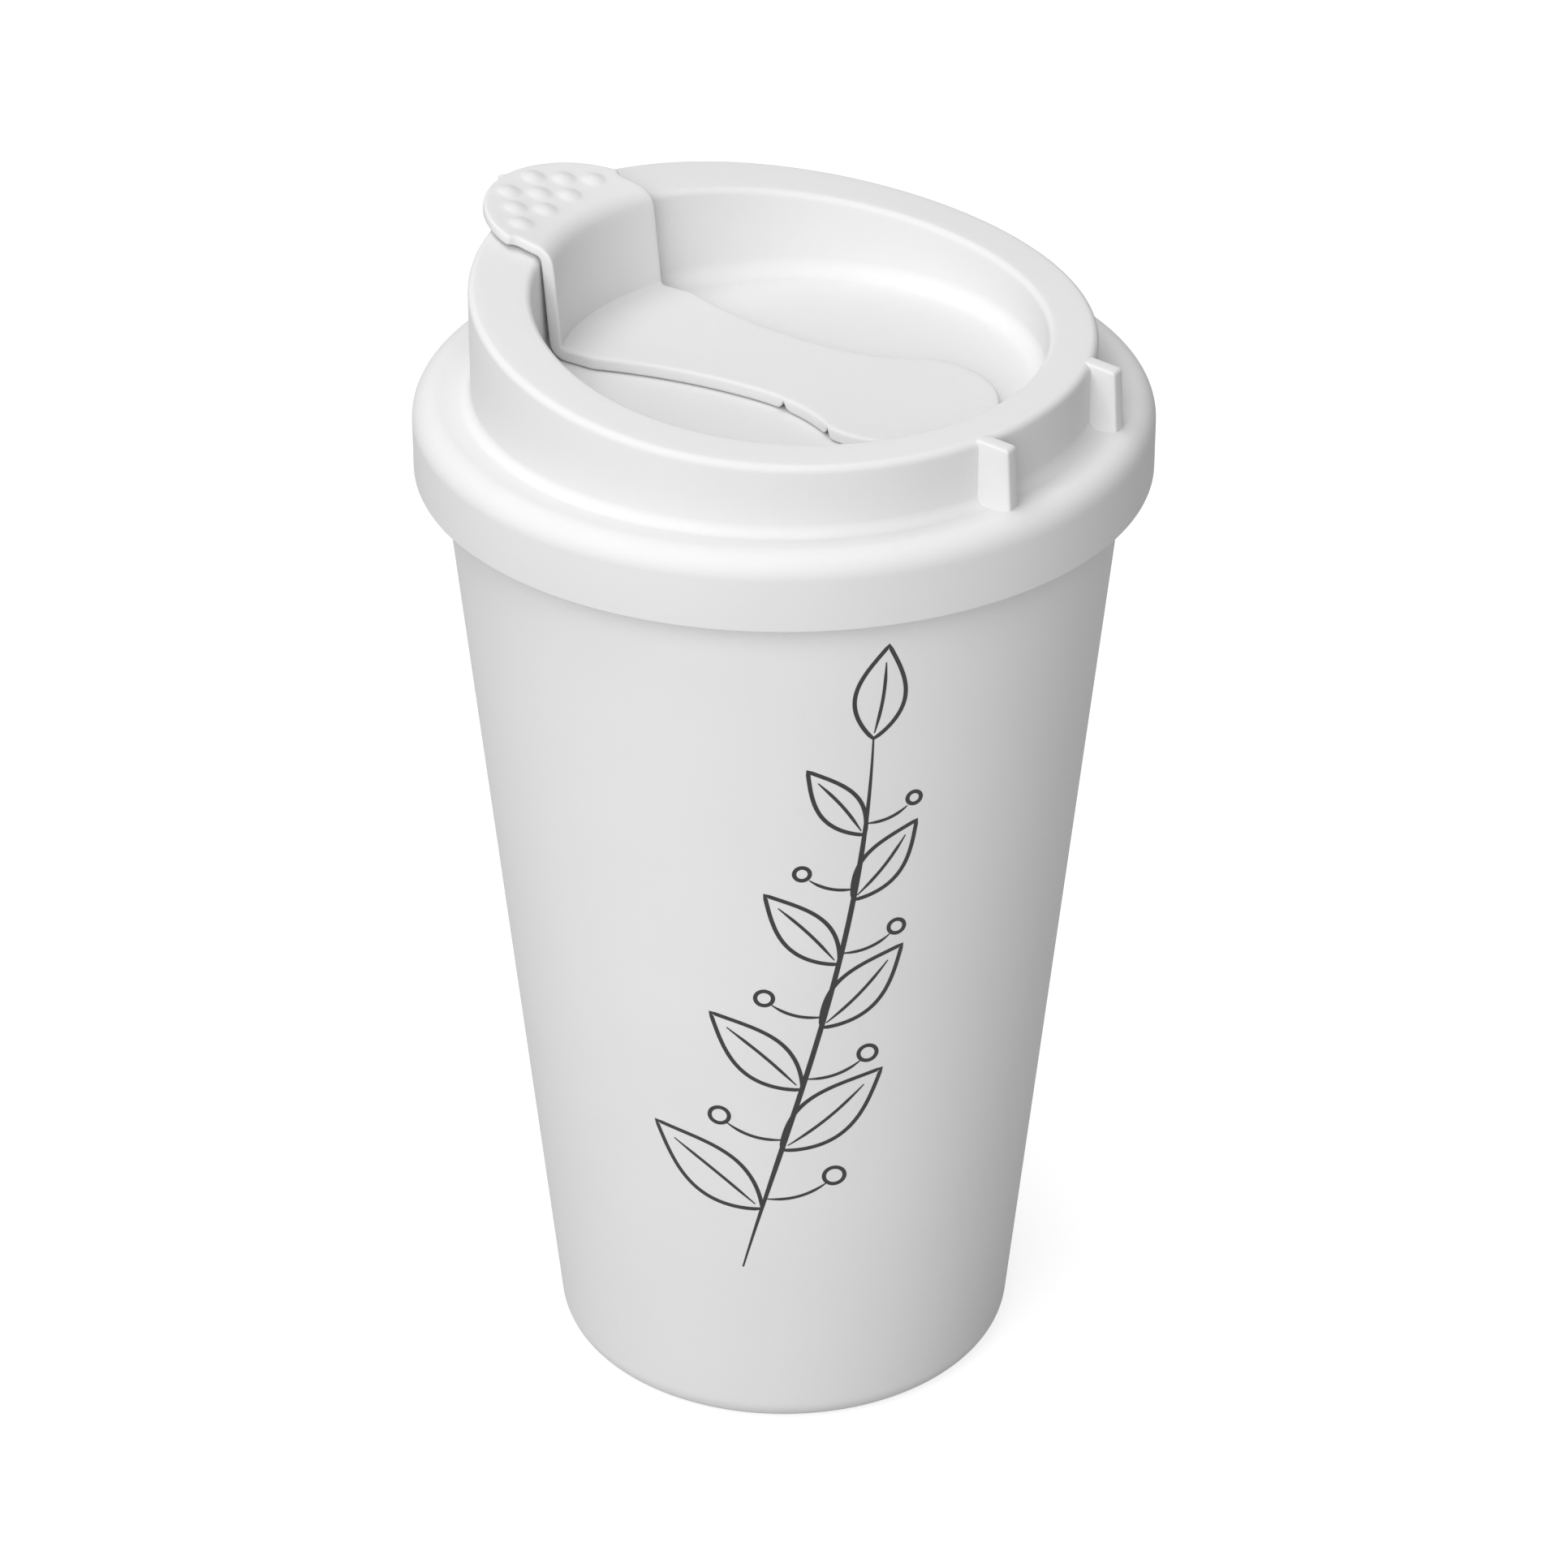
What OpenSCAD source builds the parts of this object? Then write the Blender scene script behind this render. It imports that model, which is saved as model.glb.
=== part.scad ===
// Reusable coffee cup with a snap lid and a strap closure that folds back over the low side of its rim.
// The origin is the centre of the base, +Z is up and the drinking side faces -Y.

/* [Cup] */
// Height of the cup to the top of its lip
cup_h = 136; // [110:1:160]
// Outer radius of the slanted side, carried down to the table
cup_base_r = 29.85; // [26:0.05:34]
// Outer radius of the slanted side, carried up to the top of the lip
cup_top_r = 43.7; // [41:0.1:45]
// Thickness of the cup's side
cup_wall = 1.8; // [1.2:0.1:2.4]
// Thickness of the cup's bottom
cup_floor = 2.2; // [1.5:0.1:4]
// Outer rounding at the foot of the cup
foot_round = 4; // [2:0.5:6]
// Rounding between the inside wall and the bottom
inner_round = 5; // [3:0.5:8]
// Height of the recess under the bottom
recess_h = 2; // [1:0.1:4]
// Width of the ring that the cup stands on
foot_w = 2.6; // [1.5:0.1:4]
// How far the lip stands out from the side
lip_out = 1; // [0.6:0.1:1.4]
// Height of the lip's outer band
lip_h = 5; // [3:0.1:7]

/* [Collar of the lid] */
// Wall thickness of the lid
lid_wall = 1.5; // [1.2:0.1:1.6]
// Height of the collar's outside
collar_h = 9.8; // [9:0.1:12]
// Outer rounding from the collar's side to its crown
crown_round = 3; // [2:0.1:4]
// Fall of the shoulder from the crown in to the rim's foot, in degrees
shoulder_fall = 8; // [4:1:10]
// Rounding at the foot of the rim
rim_foot_round = 1.4; // [0.6:0.1:1.8]
// Depth of the sealing skirt inside the cup's mouth
skirt_h = 5; // [3:0.1:7]
// Thickness of the sealing skirt
skirt_t = 1.2; // [0.8:0.1:1.5]

/* [Rim of the lid] */
// Outer radius of the raised rim
rim_r = 39.1; // [38.5:0.1:39.5]
// Height of the rim's top above the cup's lip on the low side
rim_low_up = 10; // [8:0.1:13]
// Height of the rim's top above the cup's lip on the drinking side
rim_high_up = 18; // [15:0.1:22]
// Rounding of the rim's outer top edge
rim_round_out = 1.4; // [0.8:0.1:1.6]
// Rounding of the rim's inner top edge
rim_round_in = 1.5; // [0.8:0.1:1.7]

/* [Basin of the lid] */
// Height of the basin's floor above the cup's lip
basin_up = 3.2; // [2:0.1:4.6]
// Radius of the basin's wall, carried down to its floor
basin_r = 31.9; // [30.5:0.1:32.5]
// How far the basin's centre lies towards the low side
basin_shift = 1.6; // [0.8:0.1:2]
// Slope of the basin's wall outwards, in degrees
basin_draft = 7.5; // [2:0.5:9]
// Rounding between the basin's wall and floor
basin_round = 3.5; // [2:0.1:5]

/* [Drinking slot] */
// Radius of the drinking slot's middle line
slot_r = 35.6; // [35:0.1:36]
// Width of the drinking slot
slot_w = 3.2; // [2:0.1:3.4]
// Half of the angle that the drinking slot spans, in degrees
slot_half_a = 12; // [6:1:18]

/* [Ribs of the lid] */
// Distance of each rib's middle from the plane of symmetry
rib_x = 12.6; // [11.4:0.1:15]
// Thickness of a rib
rib_t = 2.1; // [1.4:0.1:2.6]
// Distance of a rib's outer end from the cup's axis, at its foot
rib_end_y = 41.2; // [40:0.1:42]
// Lean of a rib's outer end, from its foot to its top
rib_lean = 0.5; // [0:0.1:1]
// Height of a rib's top above the low rim, at the rim
rib_up = 0.1; // [0:0.1:1]
// Fall of a rib's top from the rim outwards
rib_fall = 0.4; // [0:0.1:1]

/* [Closure] */
// Thickness of the closure
closure_t = 1.4; // [1:0.1:1.6]
// Gap between the closure and the basin's floor
closure_gap = 0.5; // [0.3:0.1:0.9]
// Inner radius of the closure's wall at the plate
wall_r = 28; // [27:0.1:28.5]
// Slope of the closure's wall outwards, in degrees
wall_draft = 6; // [3:0.5:7]
// Half of the wall's width
wall_half_w = 11.4; // [9:0.1:12]
// Rounding in the corner between plate and wall
wall_foot_round = 0.5; // [0.3:0.1:2]
// Rounding over the top from wall to tab
wall_top_round = 2.8; // [2:0.1:3.2]
// Half of the plate's width at its waist
waist_half_w = 6.8; // [5:0.1:9]
// Distance of the waist from the cup's axis, towards the drinking side
waist_y = 5; // [2:0.5:8]
// Radius of the plate's hollow flanks
flank_r = 46; // [40:1:90]
// Radius of the round anchor end
anchor_r = 11.4; // [9:0.1:12]
// Distance of the round end's centre from the cup's axis
anchor_y = 18; // [14:0.1:18.4]

/* [Tab] */
// Radius of the tab's lobe
tab_r = 12.6; // [11.6:0.1:14]
// Distance of the lobe's centre from the cup's axis
tab_y = 30; // [28:0.1:30.4]
// Gap between the tab and the rim
tab_gap = 0.3; // [0.3:0.1:0.8]
// Thickness of the tab
tab_t = 1.6; // [1.2:0.1:2]
// Depth of the small notch at each side of the tab's root
notch_d = 1.1; // [0.4:0.1:1.2]
// Radius of the small notch
notch_r = 1.2; // [0.8:0.1:2]
// Height of a grip bump
bump_h = 0.4; // [0.3:0.1:0.8]
// Radius of a grip bump at its foot
bump_r = 1.35; // [1:0.05:1.5]
// Distance between the bumps of one row
bump_pitch = 5.3; // [4:0.1:6]
// Distance between the rows of bumps
bump_row = 2.8; // [2.6:0.1:3.2]
// Distance of the outermost row from the lobe's tip
bump_in = 3; // [2.5:0.1:4]

/* [Folds] */
// Place of the fold between flap and strap, from the cup's axis towards the low side
fold_1_y = 5; // [3:0.1:6]
// Place of the fold between strap and anchor
fold_2_y = 13.5; // [12:0.1:15]
// Thickness left in a fold
fold_web = 0.5; // [0.3:0.1:0.7]
// Width of a fold's groove on the underside
fold_w = 1.3; // [0.8:0.1:2]
// Gap between the two sides of a fold
fold_gap = 0.1; // [0.06:0.02:0.3]

/* [Studs] */
// Radius of an anchor stud
stud_r = 2; // [1.5:0.1:2.5]
// Distance of each stud from the middle
stud_x = 5; // [4:0.1:6]
// Distance of the studs from the cup's axis
stud_y = 19.5; // [18:0.1:21]
// How far a stud's head overhangs its hole
stud_head = 0.7; // [0.4:0.1:1]

/* [Fits] */
// Clearance of a stud in its hole
stud_clear = 0.1; // [0.05:0.05:0.2]
// Clearance between lid and cup
lid_clear = 0.3; // [0.2:0.05:0.4]
// Clearance of the lid's snap bead past the cup's lip
snap_clear = 0.05; // [0.03:0.01:0.1]
// Clearance of the tab's plug in the drinking slot
plug_clear = 0.45; // [0.4:0.05:0.6]

/* [Hidden] */
$fn = 128;
sweep_steps = 96;
arc_steps = 5;
far = 200;
cup_colour = "whitesmoke";
lid_colour = "white";

// The cup's side is a cone, given by its outer radius at a height.
side_slope = (cup_top_r - cup_base_r) / cup_h;
side_angle = atan(side_slope);
function side_r(z) = cup_base_r + side_slope * z;
wall_across = cup_wall / cos(side_angle);
lip_r = cup_top_r + lip_out;
lip_round = 1.2;
lip_edge_round = 0.6;
// Depth to which joined forms reach into one another
join = 0.3;
cavity_z = recess_h + cup_floor;

// The collar's inside clears the lip, and its roof clears the lip's top.
collar_foot_round = 0.3;
roof_extra = 0.2;
collar_in_r = lip_r + lid_clear;
collar_r = collar_in_r + lid_wall;
roof_z = cup_h + lid_clear;
crown_z = roof_z + lid_wall + roof_extra;
collar_z = crown_z - collar_h;
crown_c = [collar_r - crown_round, crown_z - crown_round];
shoulder_start = crown_c + crown_round * [-sin(shoulder_fall), cos(shoulder_fall)];
roof_in_r = rim_r - lid_wall / 2;
function shoulder_z(r) = shoulder_start[1] - (shoulder_start[0] - r) * tan(shoulder_fall);
skirt_r = side_r(roof_z) - wall_across - lid_clear;
skirt_foot_r = side_r(roof_z - skirt_h) - wall_across - lid_clear;
skirt_lead = 0.6;
snap_r = 1;
snap_below = 1.3;
snap_z = cup_h - lip_h - snap_below;

rim_low = cup_h + rim_low_up;
rim_high = cup_h + rim_high_up;
basin_z = cup_h + basin_up;
// The rim's top rises from the low side to the drinking side along one long curve.
function rim_z(y) = rim_low + (rim_high - rim_low) * pow((rim_r - y) / (2 * rim_r), 2);
function basin_wall(z) = basin_r + (z - basin_z) * tan(basin_draft);
rim_foot_z = roof_z - join;
// How far inside the rim's wall the rounding at its foot begins
rim_bite = 0.14;
rib_sink = 0.5;
rib_corner = 0.5;
function rim_wall_y(r, x) = sqrt(pow(r, 2) - pow(x, 2));

// The closure lies over the basin's floor, and its tab over the rim.
plate_z = basin_z + closure_gap;
plate_top = plate_z + closure_t;
tab_tip_y = tab_y + tab_r;
tab_root_r = wall_r + 4;
// Where the plan of the wall ends and the tab's lobe takes over
lobe_from_y = tab_root_r - 0.4;
lobe_half_w = sqrt(pow(tab_r, 2) - pow(lobe_from_y - tab_y, 2));
under_bend = 0.6;
tab_slope = (rim_z(-tab_tip_y) - rim_z(-tab_root_r)) / (tab_tip_y - tab_root_r);
tab_angle = atan(tab_slope);
function wall_out(z) = wall_r + closure_t / cos(wall_draft) + (z - plate_top) * tan(wall_draft);
function tab_top(r) = rim_z(-tab_root_r) + tab_gap + tab_t + (r - tab_root_r) * tab_slope;
stud_hole_r = stud_r + stud_clear;
stud_head_h = 1;
stud_boss_r = stud_r + 1.4;
stud_lead = 0.2;
bump_sink = 0.6;
plug_depth = 0.6;
gate_w = 0.9;
gate_out = 0.5;

// A disc sector of the given ring, cut with true round faces
module ring_sector(r0, r1, z0, z1, from, span) {
    rotate([0, 0, from])
        rotate_extrude(angle = span)
            translate([r0, z0])
                square([r1 - r0, z1 - z0]);
}

// Cup

// The outside of a slanted pot with a rounded foot, as half a section
module pot_section(r0, z0, z1, round) {
    c = [r0 + side_slope * (z0 + round) - round / cos(side_angle), z0 + round];
    on_side = c + round * [cos(side_angle), -sin(side_angle)];
    polygon([
        [0, z0],
        [c[0], z0],
        on_side,
        [r0 + side_slope * z1, z1],
        [0, z1]
    ]);
    translate(c)
        circle(round);
}

module lip_section() {
    top_in = side_r(cup_h) - wall_across;
    translate([top_in, cup_h - lip_h])
        square([lip_r - top_in, lip_h - lip_round]);
    translate([top_in + lip_edge_round, cup_h - lip_round])
        square([lip_r - lip_round - top_in - lip_edge_round, lip_round]);
    translate([lip_r - lip_round, cup_h - lip_round])
        circle(lip_round);
    translate([top_in, cup_h - lip_round])
        square([lip_edge_round * 2, lip_round - lip_edge_round]);
    translate([top_in + lip_edge_round, cup_h - lip_edge_round])
        circle(lip_edge_round);
    polygon([
        [side_r(cup_h - lip_h - lip_out) - join, cup_h - lip_h - lip_out],
        [side_r(cup_h - lip_h - lip_out), cup_h - lip_h - lip_out],
        [lip_r, cup_h - lip_h],
        [side_r(cup_h - lip_h) - join, cup_h - lip_h]
    ]);
}

module cup() {
    recess_r = side_r(foot_round) - foot_round / cos(side_angle) - foot_w;
    color(cup_colour)
        rotate_extrude()
            intersection() {
                union() {
                    difference() {
                        pot_section(cup_base_r, 0, cup_h - lip_round, foot_round);
                        pot_section(cup_base_r - wall_across, cavity_z, cup_h + 1, inner_round);
                        square([recess_r, recess_h]);
                    }
                    lip_section();
                }
                square([far, far]);
            }
}

// Lid

module collar_section() {
    f = collar_foot_round;
    inner_c = [collar_in_r - (crown_round - lid_wall), roof_z - (crown_round - lid_wall)];
    difference() {
        union() {
            translate([collar_in_r, collar_z + f])
                square([lid_wall, crown_c[1] - collar_z - f]);
            translate([collar_in_r + f, collar_z])
                square([lid_wall - 2 * f, 2 * f]);
            translate([collar_in_r + f, collar_z + f])
                circle(f);
            translate([collar_r - f, collar_z + f])
                circle(f);
            translate(crown_c)
                circle(crown_round);
            polygon([
                [roof_in_r, roof_z],
                [crown_c[0], roof_z],
                crown_c,
                shoulder_start,
                [roof_in_r, shoulder_z(roof_in_r)]
            ]);
            rim_foot_section();
        }
        translate([roof_in_r - 1, 0])
            square([inner_c[0] - roof_in_r + 1, roof_z]);
        square([collar_in_r, inner_c[1]]);
        translate(inner_c)
            circle(crown_round - lid_wall);
    }
    translate([collar_in_r + snap_r - lid_clear + snap_clear, snap_z])
        intersection() {
            circle(snap_r);
            translate([-snap_r, -snap_r])
                square([snap_r * 1.4, snap_r * 2]);
        }
}

// The hollow rounding where the rim stands on the shoulder
module rim_foot_section() {
    r = rim_foot_round;
    c = [rim_r + r - rim_bite, shoulder_z(rim_r + r) + r];
    end_r = c[0] + r * sin(shoulder_fall);
    difference() {
        polygon([
            [roof_in_r, shoulder_z(roof_in_r) - join],
            [end_r, shoulder_z(end_r) - join],
            [end_r, shoulder_z(end_r)],
            c,
            [roof_in_r, c[1]]
        ]);
        translate(c)
            circle(r);
    }
}

module skirt_section() {
    polygon([
        [skirt_r - skirt_t, roof_z + join],
        [skirt_foot_r - skirt_t, roof_z - skirt_h + skirt_lead],
        [skirt_foot_r - skirt_t + skirt_lead / 2, roof_z - skirt_h],
        [skirt_foot_r - skirt_lead / 2, roof_z - skirt_h],
        [skirt_foot_r, roof_z - skirt_h + skirt_lead],
        [skirt_r, roof_z],
        [skirt_r, roof_z + join]
    ]);
}

// Points of the rim and basin at one direction, from the rim's outer foot over its top to the floor
function rim_outer_edge(a) = [
    for (i = [0:arc_steps])
        let (t = 90 * i / arc_steps, r = rim_r - rim_round_out * (1 - cos(t)))
        [r * cos(a), r * sin(a), rim_z(r * sin(a)) - rim_round_out * (1 - sin(t))]
];
function mouth_r(a) = basin_wall(rim_z(basin_shift + basin_r * sin(a)));
function on_basin(a, r, z) = [r * cos(a), basin_shift + r * sin(a), z];
function rim_inner_edge(a) = [
    for (i = [0:arc_steps])
        let (
            t = 90 * i / arc_steps,
            r = mouth_r(a) + rim_round_in * (1 - sin(t)),
            drop = rim_round_in * (1 - cos(t))
        )
        on_basin(a, r, rim_z(basin_shift + r * sin(a)) - drop)
];
fillet_r = basin_wall(basin_z + basin_round) - basin_round;
function fillet(a, round, under) = [
    for (i = [0:arc_steps])
        let (t = under ? 90 - 90 * i / arc_steps : 90 * i / arc_steps)
        on_basin(a, fillet_r + round * cos(t), basin_z + basin_round - round * sin(t))
];
function upper_line(a) = concat(
    [[rim_r * cos(a), rim_r * sin(a), rim_foot_z]],
    rim_outer_edge(a),
    rim_inner_edge(a),
    fillet(a, basin_round, false)
);
function lower_line(a) = concat(
    fillet(a, basin_round + lid_wall, true),
    [
        let (r = mouth_r(a) + lid_wall)
        on_basin(a, r, rim_z(basin_shift + r * sin(a)) - lid_wall),
        let (r = rim_r - lid_wall)
        [r * cos(a), r * sin(a), rim_z(r * sin(a)) - lid_wall],
        let (r = rim_r - lid_wall)
        [r * cos(a), r * sin(a), rim_foot_z]
    ]
);

// The raised rim and the basin inside it, as one skin swept once round
module rim_and_basin() {
    rings = [
        for (s = [0:sweep_steps - 1])
            let (a = 360 * s / sweep_steps)
            concat(upper_line(a), lower_line(a))
    ];
    upper_n = len(upper_line(0));
    ring_n = len(rings[0]);
    points = concat(
        [for (ring = rings) each ring],
        [[0, basin_shift, basin_z], [0, basin_shift, basin_z - lid_wall]]
    );
    top_mid = sweep_steps * ring_n;
    under_mid = top_mid + 1;
    faces = [
        for (s = [0:sweep_steps - 1])
            let (this = s * ring_n, next = ((s + 1) % sweep_steps) * ring_n)
            each concat(
                [
                    for (k = [0:ring_n - 1])
                        let (j = (k + 1) % ring_n)
                        if (k != upper_n - 1)
                        each [
                            [this + k, this + j, next + j],
                            [this + k, next + j, next + k]
                        ]
                ],
                [
                    [this + upper_n - 1, top_mid, next + upper_n - 1],
                    [next + upper_n, under_mid, this + upper_n]
                ]
            )
    ];
    polyhedron(points, faces, convexity = 6);
}

// A rib stands off the rim on its low side, in line with the plane of symmetry
module rib(side) {
    top = rim_low + rib_up;
    outer_x = rib_x + rib_t / 2;
    foot_y = (rim_wall_y(rim_r, outer_x) + rim_wall_y(rim_r - lid_wall, rib_x - rib_t / 2)) / 2;
    edge_y = rim_wall_y(rim_r - rim_round_out, rib_x);
    translate([side * rib_x - rib_t / 2, 0, 0])
        rotate([90, 0, 90])
            linear_extrude(rib_t)
                polygon([
                    [foot_y, shoulder_z(foot_y) - rib_sink],
                    [rib_end_y, shoulder_z(rib_end_y) - rib_sink],
                    [rib_end_y - rib_lean, top - rib_fall - rib_corner],
                    [rib_end_y - rib_lean - rib_corner, top - rib_fall],
                    [edge_y + rib_sink, top],
                    [edge_y - rib_sink, rim_low - rib_sink],
                    [foot_y, rim_low - rim_round_out]
                ]);
}

module drinking_slot() {
    z0 = rim_z(-slot_r) - lid_wall - 2;
    z1 = rim_high + 3;
    ring_sector(slot_r - slot_w / 2, slot_r + slot_w / 2, z0, z1, -90 - slot_half_a, 2 * slot_half_a);
    for (side = [-1, 1])
        rotate([0, 0, -90 + side * slot_half_a])
            translate([slot_r, 0, z0])
                cylinder(h = z1 - z0, d = slot_w);
}

module lid() {
    color(lid_colour)
        difference() {
            union() {
                rotate_extrude()
                    union() {
                        collar_section();
                        skirt_section();
                    }
                rim_and_basin();
                rib(-1);
                rib(1);
            }
            drinking_slot();
            for (side = [-1, 1])
                translate([side * stud_x, stud_y, basin_z - lid_wall - 1])
                    cylinder(h = lid_wall + 2, r = stud_hole_r);
        }
}

// Closure

// Plan of the plate: a waist between the wall's root and the round anchor end
module plate_plan() {
    difference() {
        union() {
            translate([-wall_half_w, -far / 2])
                square([2 * wall_half_w, far / 2 + anchor_y - anchor_r / 2]);
            translate([0, anchor_y])
                circle(anchor_r);
        }
        for (side = [-1, 1])
            translate([side * (waist_half_w + flank_r), -waist_y])
                circle(flank_r);
    }
}

module tab_plan() {
    difference() {
        union() {
            translate([0, -tab_y])
                circle(tab_r);
            translate([-gate_w / 2, -tab_tip_y - gate_out])
                square([gate_w, 2 * gate_out]);
        }
        for (side = [-1, 1])
            translate([side * (lobe_half_w - notch_d + notch_r), -lobe_from_y])
                circle(notch_r);
    }
}

// Section of the bent sheet, from the plate up the wall and out to the tab
module sheet_section() {
    w = wall_foot_round;
    u = wall_top_round;
    lean = tan(wall_draft);
    foot = [wall_r - w, plate_top + w];
    root_z = tab_top(wall_r + u) - u;
    head = [wall_r + (root_z - plate_top) * lean + u, root_z];
    low_z = root_z - u - join;
    difference() {
        union() {
            translate([0, plate_z])
                square([foot[0], closure_t]);
            polygon([
                [foot[0], plate_z],
                [wall_out(foot[1]), foot[1]],
                [wall_out(head[1]), head[1]],
                head,
                [tab_tip_y + 1, tab_top(tab_tip_y + 1) - tab_t],
                [tab_tip_y + 1, tab_top(tab_tip_y + 1)],
                [head[0] - u * sin(tab_angle), head[1] + u * cos(tab_angle)],
                head - u * [cos(wall_draft), 0],
                [wall_r, plate_top],
                [foot[0], plate_top]
            ]);
            translate(foot)
                circle(w + closure_t);
            translate(head)
                circle(u);
        }
        polygon([
            [0, plate_top],
            [foot[0], plate_top],
            foot,
            [wall_r + w * lean, foot[1]],
            [wall_r + (head[1] - plate_top) * lean, head[1]],
            [0, head[1]]
        ]);
        translate(foot)
            circle(w);
        polygon([
            [wall_out(low_z), low_z],
            [wall_out(head[1] - join), head[1] - join],
            [head[0] + under_bend, tab_top(head[0] + under_bend) - tab_t],
            [far / 2, tab_top(far / 2) - tab_t],
            [far / 2, low_z]
        ]);
    }
}

module bumps() {
    ball_r = (pow(bump_r, 2) + pow(bump_h, 2)) / (2 * bump_h);
    for (row = [0:2])
        for (i = [0:row + 1]) {
            y = tab_tip_y - bump_in - row * bump_row;
            x = (i - (row + 1) / 2) * bump_pitch;
            translate([x, -y, tab_top(norm([x, y]))])
                rotate_extrude($fn = 64)
                    intersection() {
                        translate([0, bump_h - ball_r])
                            circle(ball_r);
                        translate([0, -bump_sink])
                            square([ball_r, bump_sink + bump_h]);
                    }
        }
}

// The sealing plug under the tab drops a little way into the drinking slot.
module plug() {
    r0 = slot_r - slot_w / 2 + plug_clear;
    r1 = slot_r + slot_w / 2 - plug_clear;
    z0 = rim_z(-slot_r) - plug_depth;
    z1 = tab_top(slot_r) - tab_t / 2;
    ring_sector(r0, r1, z0, z1, -90 - slot_half_a, 2 * slot_half_a);
    for (side = [-1, 1])
        rotate([0, 0, -90 + side * slot_half_a])
            translate([slot_r, 0, z0])
                cylinder(h = z1 - z0, r = (r1 - r0) / 2);
}

// The groove on the underside at a fold, and the gap through its web
module fold_cut(y) {
    translate([-far / 4, y, plate_top])
        rotate([90, 0, 90])
            linear_extrude(far / 2)
                union() {
                    polygon([
                        [-fold_gap / 2, -fold_web],
                        [fold_gap / 2, -fold_web],
                        [fold_w / 2, -closure_t - 0.1],
                        [-fold_w / 2, -closure_t - 0.1]
                    ]);
                    translate([-fold_gap / 2, -fold_web - 0.1])
                        square([fold_gap, fold_web + 1]);
                }
}

module plate_part(y0, y1) {
    difference() {
        intersection() {
            translate([0, 0, plate_z])
                linear_extrude(closure_t)
                    plate_plan();
            translate([-far / 4, y0, plate_z - 1])
                cube([far / 2, y1 - y0, closure_t + 2]);
        }
        fold_cut(fold_1_y);
        fold_cut(fold_2_y);
    }
}

module closure_base() {
    color(lid_colour) {
        plate_part(fold_2_y, far / 4);
        for (side = [-1, 1])
            translate([side * stud_x, stud_y, 0]) {
                translate([0, 0, basin_z])
                    cylinder(h = closure_gap + join, r = stud_boss_r);
                translate([0, 0, basin_z - lid_wall - stud_clear - stud_head_h / 2])
                    cylinder(h = lid_wall + closure_gap + stud_head_h, r = stud_r);
                translate([0, 0, basin_z - lid_wall - stud_clear - stud_head_h])
                    cylinder(h = stud_head_h, r1 = stud_r - stud_lead, r2 = stud_hole_r + stud_head);
            }
    }
}

module closure_strap() {
    color(lid_colour)
        plate_part(fold_1_y, fold_2_y);
}

module flap_plan() {
    intersection() {
        plate_plan();
        translate([-far / 4, -lobe_from_y])
            square([far / 2, lobe_from_y]);
    }
    intersection() {
        tab_plan();
        translate([-far / 4, -far / 2])
            square([far / 2, far / 2 - lobe_from_y + 0.01]);
    }
}

module closure_flap() {
    color(lid_colour) {
        intersection() {
            rotate([0, 0, 180])
                rotate_extrude(angle = 180)
                    sheet_section();
            translate([0, 0, plate_z - 1])
                linear_extrude(far / 4)
                    flap_plan();
        }
        plate_part(-1, fold_1_y);
        bumps();
        plug();
    }
}

cup();
lid();
closure_base();
closure_strap();
closure_flap();
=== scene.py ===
import math

import bmesh
import bpy
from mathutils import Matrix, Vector
from mathutils.geometry import delaunay_2d_cdt


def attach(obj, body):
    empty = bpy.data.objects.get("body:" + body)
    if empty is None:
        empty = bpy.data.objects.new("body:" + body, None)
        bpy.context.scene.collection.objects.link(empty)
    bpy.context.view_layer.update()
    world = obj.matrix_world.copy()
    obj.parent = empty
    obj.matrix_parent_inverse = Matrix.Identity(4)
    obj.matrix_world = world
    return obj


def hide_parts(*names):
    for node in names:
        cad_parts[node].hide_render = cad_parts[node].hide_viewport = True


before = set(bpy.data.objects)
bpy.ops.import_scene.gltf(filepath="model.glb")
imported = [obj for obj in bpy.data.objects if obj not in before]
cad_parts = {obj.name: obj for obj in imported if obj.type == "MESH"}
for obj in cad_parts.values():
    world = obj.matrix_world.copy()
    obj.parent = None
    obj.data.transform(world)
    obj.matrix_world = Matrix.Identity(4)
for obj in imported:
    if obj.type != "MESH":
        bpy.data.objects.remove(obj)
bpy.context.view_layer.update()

MM = 0.001

# Sizes in millimetres and angles in degrees. The rim, the basin, and the closure's wall, outline, tab,
# bumps and sheets are nearer the photograph than in the part's source. The other main sizes are the
# source's

# Sizes of the cup
CUP_H = 136
CUP_BASE_R = 29.85
CUP_TOP_R = 43.7
CUP_WALL = 1.8
CUP_FLOOR = 2.2
FOOT_ROUND = 4
FOOT_W = 2.6
FOOT_EDGE = 0.5
RECESS_H = 2
RECESS_ROUND = 0.8
INNER_ROUND = 5
LIP_OUT = 1
LIP_H = 5
LIP_ROUND = 1.2
MOUTH_ROUND = 0.6

# Sizes of the lid
LID_WALL = 1.5
COLLAR_H = 9.8
COLLAR_EDGE = 0.4
CROWN_ROUND = 3
CROWN_UP = 0.2
SHOULDER_FALL = 8
RIM_FOOT_ROUND = 1.4
SKIRT_H = 5
SKIRT_T = 1.2
SKIRT_EDGE = 0.4
LID_CLEAR = 0.3
SNAP_DOWN = 1.3
SNAP_OUT = 0.25
SNAP_HALF_H = 0.7
RIM_R = 39.1
RIM_LOW = 146.2
RIM_HIGH = 154.2
RIM_ROUND_OUT = 1.0
RIM_ROUND_IN = 0.9
BASIN_Z = 139.2
BASIN_R = 31.6
BASIN_SHIFT = 1.2
BASIN_DRAFT = 3
BASIN_ROUND = 2.4
SLOT_R = 35.6
SLOT_W = 3.2
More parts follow.
